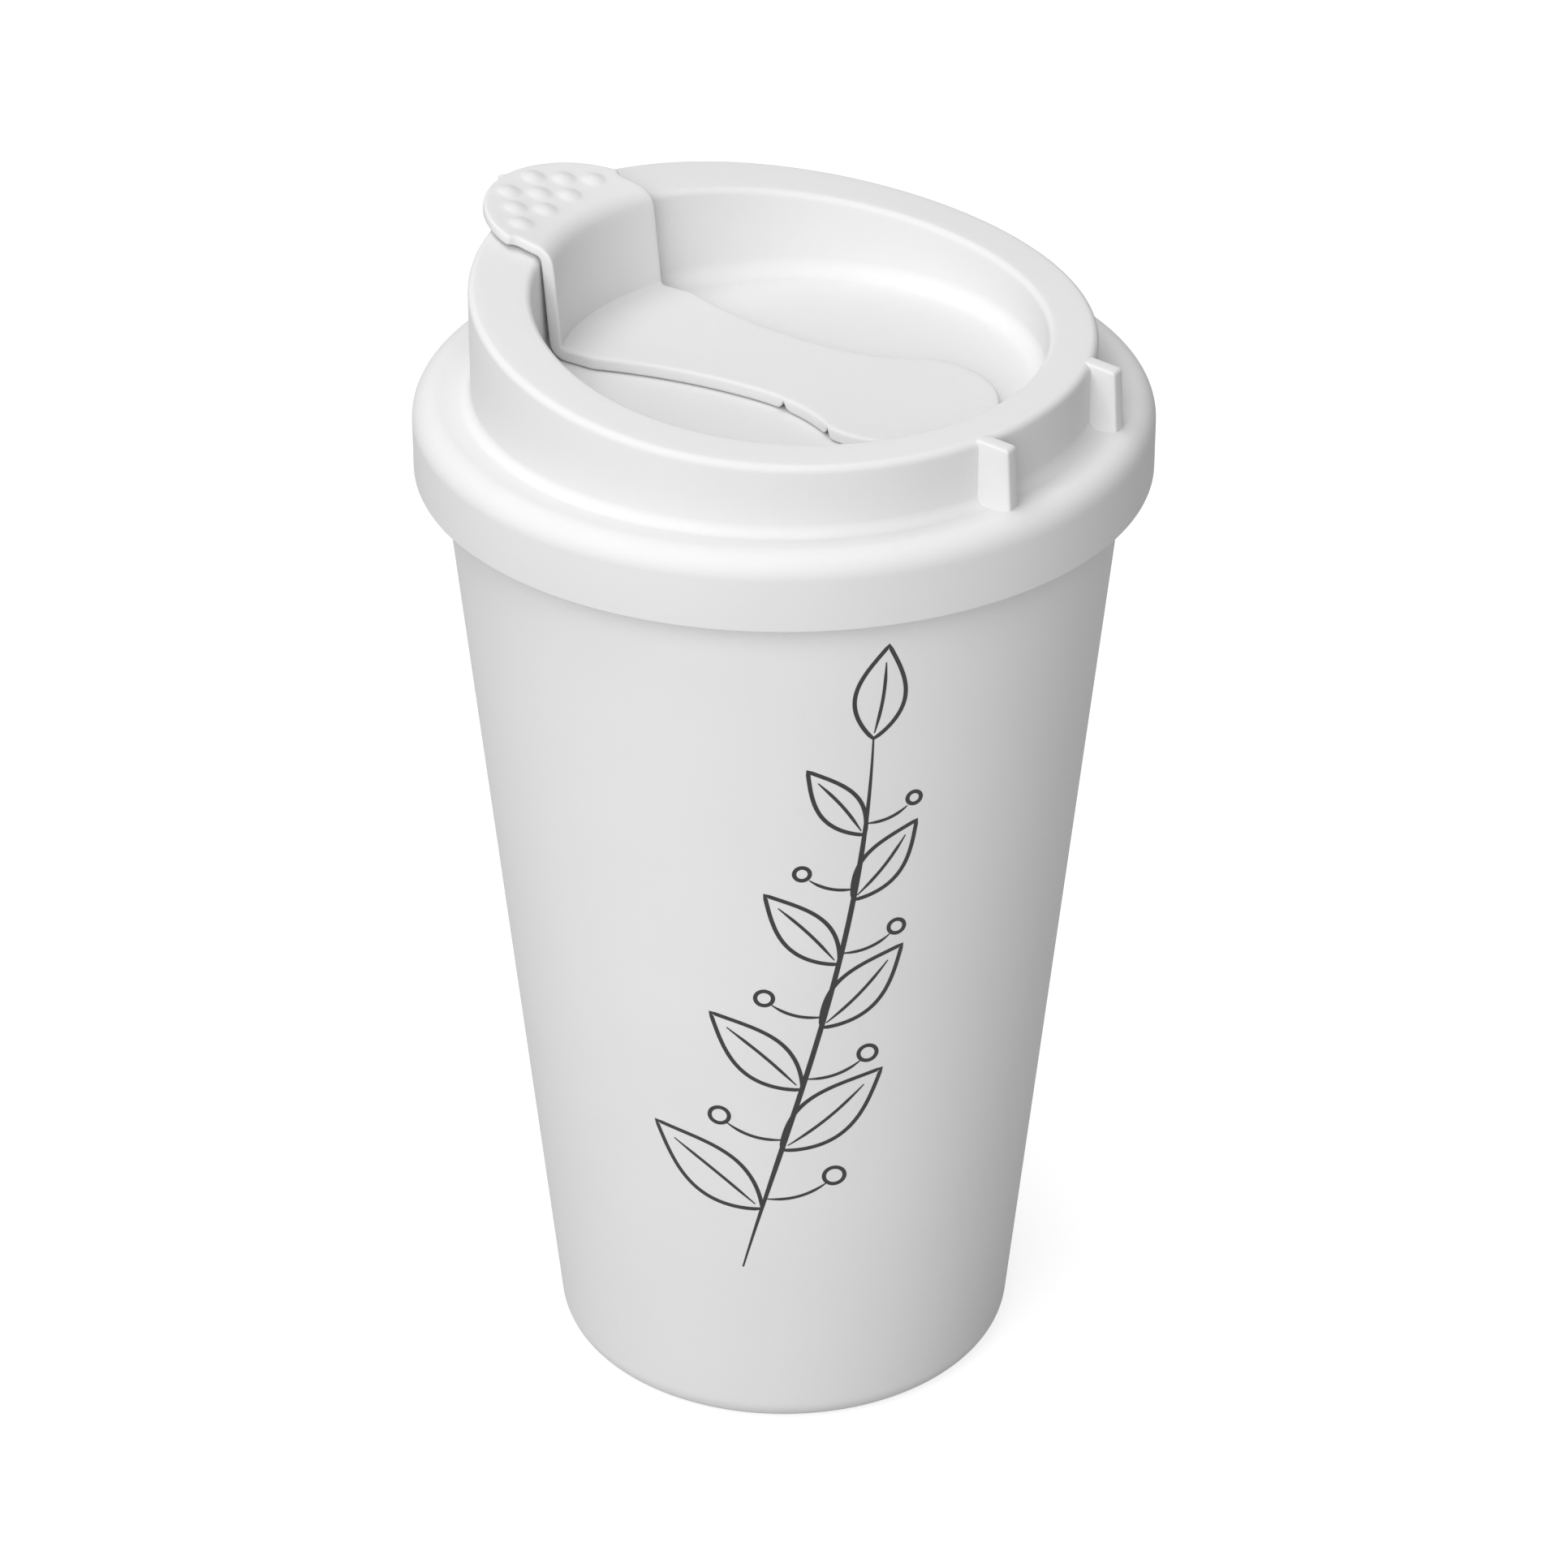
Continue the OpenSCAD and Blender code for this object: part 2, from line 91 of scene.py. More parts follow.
SLOT_HALF_A = 12
RIB_X = 12.6
RIB_T = 2.1
RIB_END_Y = 41.2
RIB_LEAN = 0.5
RIB_UP = 0.1
RIB_FALL = 0.4
RIB_SINK = 0.5
RIB_EDGE = 0.35

# Sizes of the closure
CLOSURE_T = 1.4
CLOSURE_GAP = 0.5
SHEET_GAP = 0.12
EDGE = 0.45
WALL_R = 28.2
WALL_DRAFT = 5
WALL_HALF_W = 11.4
WALL_FOOT_ROUND = 0.5
WALL_TOP_ROUND = 2.8
WAIST_HALF_W = 7.5
WAIST_Y = -0.5
FLANK_R = 62
ANCHOR_FLANK_R = 25
ANCHOR_R = 12
ANCHOR_Y = 17.4
ANCHOR_END_Y = ANCHOR_Y - 1.2
TAB_R = 12.6
TAB_Y = 30
TAB_ROOT = 4
LOBE_OVERLAP = 0.4
TAB_GAP = 0.15
TAB_T = 1.4
NOTCH_D = 1.1
NOTCH_R = 1.2
BUMP_H = 0.4
BUMP_R = 1.6
BUMP_PITCH = 5.3
BUMP_ROW = 2.8
BUMP_IN = 3
BUMP_SOFT = 0.3
FOLD_1_Y = 5
FOLD_2_Y = 13.5
FOLD_WEB = 0.5
FOLD_W = 1.3
STUD_R = 2
STUD_X = 5
STUD_Y = 19.5
STUD_HEAD = 0.7
STUD_HEAD_H = 1
STUD_CLEAR = 0.1
STUD_COLLAR = 1.4
HOLE_LOW = 136
HOLE_HIGH = 141
PLUG_CLEAR = 0.45
PLUG_DEPTH = 0.6
GATE_W = 0.9
GATE_OUT = 0.5

# Sizes that follow from the others
SIDE_SLOPE = (CUP_TOP_R - CUP_BASE_R) / CUP_H
WALL_ACROSS = CUP_WALL * math.hypot(1, SIDE_SLOPE)
LIP_R = CUP_TOP_R + LIP_OUT
CAVITY_Z = RECESS_H + CUP_FLOOR
COLLAR_IN_R = LIP_R + LID_CLEAR
COLLAR_R = COLLAR_IN_R + LID_WALL
ROOF_Z = CUP_H + LID_CLEAR
CROWN_Z = ROOF_Z + LID_WALL + CROWN_UP
COLLAR_Z = CROWN_Z - COLLAR_H
SNAP_Z = CUP_H - LIP_H - SNAP_DOWN
PLATE_Z = BASIN_Z + CLOSURE_GAP
PLATE_TOP = PLATE_Z + CLOSURE_T
SHEET_T = PLATE_TOP - BASIN_Z - SHEET_GAP
TAB_ROOT_R = WALL_R + TAB_ROOT
TAB_TIP_Y = TAB_Y + TAB_R
LOBE_FROM_Y = TAB_ROOT_R - LOBE_OVERLAP
BEND_R = WALL_R - WALL_FOOT_ROUND

# Fineness of the meshes: facets to a full turn, steps along a line, and places of the extra rings
RINGS = 288
FINE_ARC = 64
BASIN_ARC = 72
RIB_ARC = 40
STUD_ARC = 32
STUD_RINGS = 40
ROUND_STEPS = 8
EDGE_STEPS = 4
SLOT_STEPS = 24
SLOT_END_STEPS = 8
FOLD_STEPS = 12
NOTCH_STEPS = 12
LOBE_STEPS = 60
FLANK_STEPS = 12
ANCHOR_STEPS = 60
QUARTERS = (0.25, 0.5, 0.75)
SIDE_RINGS = (40, 80)
FLOOR_RINGS = (0, 8, 16, 22, 26)
UNDER_RINGS = (20, 10, 0)
BASIN_RING_Z = 145
BUMP_RINGS = ((0.35, 8), (0.7, 14), (1.0, 18), (1.3, 22), (1.6, 24), (1.9, 24))
TINY = 0.02

# Repair of a mesh, in metres and degrees
MERGE_DISTANCE = 2e-6
SLIVER_LENGTH = 1e-6
HOLE_SIDES = 12
SHARP_ANGLE = 38


def side_r(z):
    return CUP_BASE_R + SIDE_SLOPE * z


def rim_z(y):
    return RIM_LOW + (RIM_HIGH - RIM_LOW) * ((RIM_R - y) / (2 * RIM_R)) ** 2


def basin_wall(z):
    return BASIN_R + (z - BASIN_Z) * math.tan(math.radians(BASIN_DRAFT))


def shoulder_z(r):
    fall = math.radians(SHOULDER_FALL)
    r0 = COLLAR_R - CROWN_ROUND - CROWN_ROUND * math.sin(fall)
    z0 = CROWN_Z - CROWN_ROUND + CROWN_ROUND * math.cos(fall)
    return z0 - (r0 - r) * math.tan(fall)


def smooth_step(t):
    t = min(1.0, max(0.0, t))
    return t * t * (3 - 2 * t)


def rounded(points, per_turn):
    """A path whose corners (x, y, radius) are rounded with arcs."""
    out = []
    last = len(points) - 1
    for i, (x, y, r) in enumerate(points):
        if i in (0, last) or r <= 0:
            out.append((x, y))
            continue
        p = Vector((x, y))
        a = (Vector(points[i - 1][:2]) - p).normalized()
        b = (Vector(points[i + 1][:2]) - p).normalized()
        half = a.angle(b) / 2
        centre = p + (a + b).normalized() * (r / math.sin(half))
        start = p + a * (r / math.tan(half)) - centre
        turn = start.angle_signed(p + b * (r / math.tan(half)) - centre)
        n = max(3, int(abs(turn) / (2 * math.pi) * per_turn + 0.5))
        for k in range(n + 1):
            t = -turn * k / n
            c, s = math.cos(t), math.sin(t)
            out.append((centre.x + start.x * c - start.y * s, centre.y + start.x * s + start.y * c))
    return out


def densify(path, step):
    """A closed outline with points added so that none lie further apart than the step."""
    out = []
    for i, (x, y) in enumerate(path):
        x1, y1 = path[(i + 1) % len(path)]
        d = math.hypot(x1 - x, y1 - y)
        if d < TINY:
            continue
        n = max(1, math.ceil(d / step))
        out += [(x + (x1 - x) * k / n, y + (y1 - y) * k / n) for k in range(n)]
    return out


def repair(obj):
    """Merges double points, closes slits, turns the faces outwards and marks the sharp edges."""
    bm = bmesh.new()
    bm.from_mesh(obj.data)
    bmesh.ops.remove_doubles(bm, verts=bm.verts, dist=MERGE_DISTANCE)
    bmesh.ops.dissolve_degenerate(bm, edges=bm.edges, dist=SLIVER_LENGTH)
    bmesh.ops.holes_fill(bm, edges=[e for e in bm.edges if e.is_boundary], sides=HOLE_SIDES)
    bmesh.ops.recalc_face_normals(bm, faces=bm.faces)
    for f in bm.faces:
        f.smooth = True
    for e in bm.edges:
        e.smooth = len(e.link_faces) != 2 or e.calc_face_angle(0) < math.radians(SHARP_ANGLE)
    bm.to_mesh(obj.data)
    bm.free()


def make(name, verts, faces):
    """A mesh object from points in millimetres."""
    mesh = bpy.data.meshes.new(name)
    mesh.from_pydata([(x * MM, y * MM, z * MM) for x, y, z in verts], [], faces)
    obj = bpy.data.objects.new(name, mesh)
    bpy.context.scene.collection.objects.link(obj)
    repair(obj)
    return obj


def join(main, extra):
    """Makes two mesh objects one."""
    with bpy.context.temp_override(
        active_object=main,
        object=main,
        selected_objects=[main, extra],
        selected_editable_objects=[main, extra],
    ):
        bpy.ops.object.join()
    return main


def joined(parts):
    """The points and faces of several parts as one list each."""
    verts, faces = [], []
    for v, f in parts:
        base = len(verts)
        verts.extend(v)
        faces.extend(tuple(i + base for i in face) for face in f)
    return verts, faces


def cut(obj, parts):
    """Takes closed parts away from an object."""
    cutter = make("cutter", *joined(parts))
    mod = obj.modifiers.new("cut", "BOOLEAN")
    mod.operation = "DIFFERENCE"
    mod.solver = "EXACT"
    mod.object = cutter
    graph = bpy.context.evaluated_depsgraph_get()
    mesh = bpy.data.meshes.new_from_object(obj.evaluated_get(graph))
    obj.modifiers.clear()
    obj.data = mesh
    bpy.data.objects.remove(cutter)
    repair(obj)


def swept(sections):
    """Points and faces of a closed skin from sections round the axis that begin and end at a pole."""
    n, m = len(sections), len(sections[0])
    verts = [p for s in sections for p in s[1:-1]] + [sections[0][0], sections[0][-1]]
    k = m - 2
    top, low = n * k, n * k + 1
    faces = []
    for i in range(n):
        j = (i + 1) % n
        faces.append((top, i * k, j * k))
        faces.append((low, j * k + k - 1, i * k + k - 1))
        faces.extend((i * k + q, i * k + q + 1, j * k + q + 1, j * k + q) for q in range(k - 1))
    return verts, faces


def revolved(path, centre=(0, 0), n=RINGS):
    """A solid of revolution from a path (r, z) that begins and ends on the axis."""
    turns = [2 * math.pi * i / n for i in range(n)]
    cx, cy = centre
    return swept([[(cx + r * math.cos(a), cy + r * math.sin(a), z) for r, z in path] for a in turns])


def slab(loop, where, thick, rho, flat=(), corners=None, inner=()):
    """A sheet inside a closed outline, with rounded edges.

    loop: the outline's points (u, v), either way round.
    where(u, v, d): the place at a depth d under the sheet's top.
    thick(u, v): the sheet's thickness.
    rho: the radius of the sheet's edge.
    flat: indices of the outline's points that stay sharp.
    corners: inward directions by index, at corners between a round and a sharp stretch.
    inner: points inside the outline.
    """
    corners = corners or {}
    n = len(loop)
    area = sum(a[0] * b[1] - b[0] * a[1] for a, b in zip(loop, loop[1:] + loop[:1]))
    way = math.copysign(1, area)
    inward = []
    for i in range(n):
        t = (Vector(loop[(i + 1) % n]) - Vector(loop[i - 1])).normalized()
        inward.append(corners.get(i, (-way * t.y, way * t.x)))
    rims = [0.0 if i in flat else rho for i in range(n)]

    def ring(angle, under):
        out = []
        for (u, v), (du, dv), r in zip(loop, inward, rims):
            s, d = r * (1 - math.cos(angle)), r * (1 - math.sin(angle))
            pu, pv = u + du * s, v + dv * s
            out.append(where(pu, pv, thick(pu, pv) - d if under else d))
        return out

    angles = [math.pi / 2 * k / EDGE_STEPS for k in range(EDGE_STEPS, -1, -1)]
    rings = [ring(a, False) for a in angles] + [ring(a, True) for a in reversed(angles)]
    verts = [p for r in rings for p in r]
    faces = []
    for k in range(len(rings) - 1):
        for i in range(n):
            j = (i + 1) % n
            faces.append((k * n + i, (k + 1) * n + i, (k + 1) * n + j, k * n + j))

    edge = [(u + du * r, v + dv * r) for (u, v), (du, dv), r in zip(loop, inward, rims)]
    points = [Vector(p) for p in edge] + [Vector(p) for p in inner]
    borders = [(i, (i + 1) % n) for i in range(n)]
    made = delaunay_2d_cdt(points, borders, [], 1, 1e-6)
    places, tris, source = made[0], made[2], made[3]
    last = (len(rings) - 1) * n
    for under in (False, True):
        index = []
        for p, src in zip(places, source):
            if src and src[0] < n:
                index.append(src[0] + (last if under else 0))
            else:
                index.append(len(verts))
                verts.append(where(p.x, p.y, thick(p.x, p.y) if under else 0.0))
        for t in tris:
            f = tuple(index[i] for i in t)
            faces.append(f if under else tuple(reversed(f)))
    return verts, faces


def even_lines(low, high, step):
    return [low + step * (i + 0.5) for i in range(int((high - low) / step))]


def inside_grid(loop, us, step, margin):
    """Points on the lines us, a step apart, inside an outline and at least a margin from it."""
    vs = [v for u, v in loop]
    low, high = min(vs), max(vs)
    segments = list(zip(loop, loop[1:] + loop[:1]))
    count = int((high - low) / step) + 1
    out = []
    for u in us:
        for k in range(count + 1):
            v = (low + high) / 2 + (k - count / 2) * step
            odd = False
            near = 1e9
            for (x0, y0), (x1, y1) in segments:
                if (y0 > v) != (y1 > v) and u < x0 + (v - y0) * (x1 - x0) / (y1 - y0):
                    odd = not odd
                dx, dy = x1 - x0, y1 - y0
                t = ((u - x0) * dx + (v - y0) * dy) / (dx * dx + dy * dy or 1)
                t = min(1, max(0, t))
                near = min(near, (u - x0 - t * dx) ** 2 + (v - y0 - t * dy) ** 2)
            if odd and near > margin * margin:
                out.append((u, v))
    return out


# Materials

CLOUD_SCALE = 38
CLOUD_DETAIL = 3
CLOUD_DEPTH = 0.012
GRAIN_DETAIL = 2
GRAIN_HEIGHT = 0.00008
ROUGH_SPREAD = 0.04
NOISE_LOW = 0.3
NOISE_HIGH = 0.7
PLASTIC_IOR = 1.49
PLASTIC_HIGHLIGHT = 0.04
CUP_WHITE = (0.8, 0.8, 0.802)
LID_WHITE = (0.75, 0.75, 0.75)
INK_DARK = (0.004, 0.004, 0.004, 1)
INK_LIGHT = (0.012, 0.012, 0.012, 1)
INK_SCALE = 900
INK_DETAIL = 2
INK_ROUGH = 0.5


def blank_material(name):
    mat = bpy.data.materials.new(name)
    mat.use_nodes = True
    return mat, mat.node_tree.nodes, mat.node_tree.links


def noise(nodes, links, where, scale, detail):
    node = nodes.new("ShaderNodeTexNoise")
    node.inputs["Scale"].default_value = scale
    node.inputs["Detail"].default_value = detail
    links.new(where.outputs["Object"], node.inputs["Vector"])
    return node.outputs["Fac"]


def plastic(name, colour, rough, grain, grain_scale):
    """Moulded plastic: a colour with a faint cloudiness, and the fine grain of a sparked mould."""
    mat, nodes, links = blank_material(name)
    shader = nodes["Principled BSDF"]
    where = nodes.new("ShaderNodeTexCoord")

    cloud = noise(nodes, links, where, CLOUD_SCALE, CLOUD_DETAIL)
    ramp = nodes.new("ShaderNodeValToRGB")
    dark, light = ramp.color_ramp.elements
    dark.position = NOISE_LOW
    light.position = NOISE_HIGH
    dark.color = (*(c * (1 - CLOUD_DEPTH) for c in colour), 1)
    light.color = (*(min(1, c * (1 + CLOUD_DEPTH)) for c in colour), 1)
    links.new(cloud, ramp.inputs["Fac"])
    links.new(ramp.outputs["Color"], shader.inputs["Base Color"])

    fine = noise(nodes, links, where, grain_scale, GRAIN_DETAIL)
    bump = nodes.new("ShaderNodeBump")
    bump.inputs["Strength"].default_value = grain
    bump.inputs["Distance"].default_value = GRAIN_HEIGHT
    links.new(fine, bump.inputs["Height"])
    links.new(bump.outputs["Normal"], shader.inputs["Normal"])

    gloss = nodes.new("ShaderNodeMapRange")
    gloss.inputs["From Min"].default_value = NOISE_LOW
    gloss.inputs["From Max"].default_value = NOISE_HIGH
    gloss.inputs["To Min"].default_value = rough - ROUGH_SPREAD
    gloss.inputs["To Max"].default_value = rough + ROUGH_SPREAD
    links.new(fine, gloss.inputs["Value"])
    links.new(gloss.outputs["Result"], shader.inputs["Roughness"])
    shader.inputs["IOR"].default_value = PLASTIC_IOR
    shader.inputs["Specular IOR Level"].default_value = PLASTIC_HIGHLIGHT
    return mat


def ink():
    """Black print, a little uneven."""
    mat, nodes, links = blank_material("print_ink")
    shader = nodes["Principled BSDF"]
    where = nodes.new("ShaderNodeTexCoord")
    ramp = nodes.new("ShaderNodeValToRGB")
    dark, light = ramp.color_ramp.elements
    dark.color = INK_DARK
    light.color = INK_LIGHT
    links.new(noise(nodes, links, where, INK_SCALE, INK_DETAIL), ramp.inputs["Fac"])
    links.new(ramp.outputs["Color"], shader.inputs["Base Color"])
    shader.inputs["Roughness"].default_value = INK_ROUGH
    return mat


cup_plastic = plastic("cup_plastic", CUP_WHITE, rough=0.62, grain=0.16, grain_scale=2600)
lid_plastic = plastic("lid_plastic", LID_WHITE, rough=0.6, grain=0.2, grain_scale=2200)
closure_plastic = plastic("closure_plastic", LID_WHITE, rough=0.58, grain=0.18, grain_scale=2400)


def dress(obj, mat, body, slot, *nodes):
    """Gives a piece its material and its body, and hides the nodes that it stands for. The slot is not
    used.
    """
    obj.data.materials.clear()
    obj.data.materials.append(mat)
    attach(obj, body)
    if nodes:
        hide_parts(*nodes)
    return obj


# Cup

def build_cup():
    recess_r = side_r(FOOT_ROUND) - FOOT_ROUND * math.hypot(1, SIDE_SLOPE) - FOOT_W
    top_in = side_r(CUP_H) - WALL_ACROSS
    under_lip = CUP_H - LIP_H - LIP_OUT
    path = [
        (0, RECESS_H, 0),
        (recess_r, RECESS_H, RECESS_ROUND),
        (recess_r, 0, FOOT_EDGE),
        (CUP_BASE_R, 0, FOOT_ROUND),
    ]
    path += [(side_r(z), z, 0) for z in SIDE_RINGS]
    path += [
        (side_r(under_lip), under_lip, 0.4),
        (LIP_R, CUP_H - LIP_H, 0.3),
        (LIP_R, CUP_H, LIP_ROUND),
        (top_in, CUP_H, MOUTH_ROUND),
    ]
    path += [(side_r(z) - WALL_ACROSS, z, 0) for z in reversed(SIDE_RINGS)]
    path += [
        (side_r(CAVITY_Z) - WALL_ACROSS, CAVITY_Z, INNER_ROUND),
        (0, CAVITY_Z, 0),
    ]
    return make("cup_body", *revolved(rounded(path, FINE_ARC)))


dress(build_cup(), cup_plastic, "cup", "cup_plastic", "cup")


# Print: a thin line drawing of a sprig, in the place and colour of the cup's print

PRINT_TURN = 33
PRINT_LOW = 27
PRINT_HIGH = 110
PRINT_LIFT = 0.03
PRINT_SINK = 0.1
PRINT_W = 0.55
STEM_W = PRINT_W * 1.25
VEIN_W = PRINT_W * 0.8
STROKE_END = 0.35
STROKE_TAPER = 3.0
STEM_SWING = 9
STEM_LEAN = 3
STEM_STEPS = 90
LEAF_STEPS = 28
VEIN_STEPS = 16
TWIG_STEPS = 14
BERRY_STEPS = 24
LEAVES = 7
LEAF_FROM = 0.12
LEAF_APART = 0.118
LEAF_TURN = 50
LEAF_TURN_LESS = 2.5
LEAF_L = 18.5
LEAF_HALF_W = 3.8
LEAF_SHRINK = 0.055
TIP_LEAF_TURN = 8
TIP_LEAF_L = 13.5
TIP_LEAF_HALF_W = 3.2
TWIG_FROM = 0.14
TWIG_OUT = 8
TWIG_UP = 2.5
TWIG_BEND_OUT = 4.6
TWIG_BEND_DOWN = 0.4
BERRY_R = 1.35


def on_cup(u, z, lift):
    """A place on the cup's side, given by millimetres to the right of the print's middle and a height."""
    r = side_r(z) + lift
    a = math.radians(PRINT_TURN) + u / side_r(z)
    return (r * math.cos(a), r * math.sin(a), z)


def stroke(points, width, closed=False):
    """A thin printed line along points (u, z): a strip just proud of the cup's side, with narrow ends."""
    m = len(points)
    verts, faces = [], []
    for i, (u, z) in enumerate(points):
        a = points[(i - 1) % m if closed else max(0, i - 1)]
        b = points[(i + 1) % m if closed else min(m - 1, i + 1)]
        d = math.hypot(b[0] - a[0], b[1] - a[1]) or 1
        nu, nz = -(b[1] - a[1]) / d, (b[0] - a[0]) / d
        end = 1.0 if closed else min(1.0, STROKE_END + STROKE_TAPER * min(i, m - 1 - i) / m)
        w = width / 2 * end
        for side, lift in ((1, PRINT_LIFT), (-1, PRINT_LIFT), (-1, -PRINT_SINK), (1, -PRINT_SINK)):
            verts.append(on_cup(u + side * nu * w, z + side * nz * w, lift))
    for i in range(m if closed else m - 1):
        j = (i + 1) % m
        faces += [(4 * i + k, 4 * j + k, 4 * j + (k + 1) % 4, 4 * i + (k + 1) % 4) for k in range(4)]
    if not closed:
        faces += [(0, 1, 2, 3), tuple(4 * m - 4 + k for k in (3, 2, 1, 0))]
    return verts, faces


def stem(t):
    """The sprig's main stem, from its foot at 0 to its tip at 1."""
    u = STEM_SWING * math.sin(2.1 * t - 0.5) + STEM_LEAN * t - 1
    return (u, PRINT_LOW + (PRINT_HIGH - PRINT_LOW) * t)


def leaf(root, turn, length, half_w):
    """The strokes of one leaf, its outline and its middle line; turn is measured from straight up."""
    c, s = math.cos(math.radians(turn)), math.sin(math.radians(turn))

    def place(along, across):
        return (root[0] + along * s + across * c, root[1] + along * c - across * s)

    n = LEAF_STEPS
    edge = []
    for k in range(2 * n):
        t = k / n if k <= n else 2 - k / n
        side = 1 if k < n else -1
        edge.append(place(length * t, side * half_w * math.sin(math.pi * t ** 0.85)))
    vein = []
    for k in range(VEIN_STEPS + 1):
        t = k / VEIN_STEPS
        vein.append(place(length * (0.06 + 0.76 * t), 0.35 * math.sin(math.pi * t)))
    return [stroke(edge, PRINT_W, closed=True), stroke(vein, VEIN_W)]


def twig(root, side, size):
    """The strokes of a bent twig and the berry at its end."""
    tip = (root[0] - side * TWIG_OUT * size, root[1] + TWIG_UP * size)
    bend = (root[0] - side * TWIG_BEND_OUT * size, root[1] - TWIG_BEND_DOWN * size)
    line = []
    for k in range(TWIG_STEPS + 1):
        t = k / TWIG_STEPS
        line.append(tuple(
            (1 - t) ** 2 * root[q] + 2 * t * (1 - t) * bend[q] + t * t * tip[q] for q in (0, 1)
        ))
    cu, cz = tip[0] - side * 0.9, tip[1] + 1.0
    r = BERRY_R * size
    turns = [2 * math.pi * k / BERRY_STEPS for k in range(BERRY_STEPS)]
    berry = [(cu + r * math.cos(a), cz + r * math.sin(a)) for a in turns]
    return [stroke(line, VEIN_W), stroke(berry, PRINT_W, closed=True)]


def build_print():
    parts = [stroke([stem(k / STEM_STEPS) for k in range(STEM_STEPS + 1)], STEM_W)]
    for i in range(LEAVES):
        side = 1 if i % 2 else -1
        size = 1 - LEAF_SHRINK * i
        root = stem(LEAF_FROM + LEAF_APART * i)
        parts += leaf(root, side * (LEAF_TURN - LEAF_TURN_LESS * i), LEAF_L * size, LEAF_HALF_W * size)
        parts += twig(stem(TWIG_FROM + LEAF_APART * i), side, size)
    parts += leaf(stem(1), TIP_LEAF_TURN, TIP_LEAF_L, TIP_LEAF_HALF_W)
    return make("print_sprig", *joined(parts))


dress(build_print(), ink(), "cup", None)


# Lid

SKIRT_R = side_r(ROOF_Z) - WALL_ACROSS - LID_CLEAR
SKIRT_FOOT_R = side_r(ROOF_Z - SKIRT_H) - WALL_ACROSS - LID_CLEAR

# From the rim's foot over the shoulder, round the collar and the skirt to the hollow under the rim
COLLAR_PATH = rounded([
    (RIM_R, ROOF_Z + 6, 0),
    (RIM_R, shoulder_z(RIM_R), RIM_FOOT_ROUND),
    (COLLAR_R, shoulder_z(COLLAR_R), CROWN_ROUND),
    (COLLAR_R, COLLAR_Z, COLLAR_EDGE),
    (COLLAR_IN_R, COLLAR_Z, 0.3),
    (COLLAR_IN_R, SNAP_Z - SNAP_HALF_H, 0.1),
    (COLLAR_IN_R - SNAP_OUT, SNAP_Z, 0.4),
    (COLLAR_IN_R, SNAP_Z + SNAP_HALF_H, 0.1),
    (COLLAR_IN_R, ROOF_Z, CROWN_ROUND - LID_WALL),
    (SKIRT_R, ROOF_Z, 0.2),
    (SKIRT_FOOT_R, ROOF_Z - SKIRT_H, SKIRT_EDGE),
    (SKIRT_FOOT_R - SKIRT_T, ROOF_Z - SKIRT_H, SKIRT_EDGE),
    (SKIRT_R - SKIRT_T, ROOF_Z, 0.3),
    (RIM_R - LID_WALL, ROOF_Z, 0.5),
    (RIM_R - LID_WALL, ROOF_Z + 6, 0),
], FINE_ARC)[1:-1]

BASIN_FILLET = rounded([
    (0, BASIN_Z, 0),
    (BASIN_R, BASIN_Z, BASIN_ROUND),
    (basin_wall(BASIN_RING_Z), BASIN_RING_Z, 0),
], BASIN_ARC)[1:-1]

UNDER_FILLET = rounded([
    (basin_wall(BASIN_RING_Z) + LID_WALL, BASIN_RING_Z, 0),
    (basin_wall(BASIN_Z - LID_WALL) + LID_WALL, BASIN_Z - LID_WALL, BASIN_ROUND + LID_WALL),
    (0, BASIN_Z - LID_WALL, 0),
], BASIN_ARC)[1:-1]


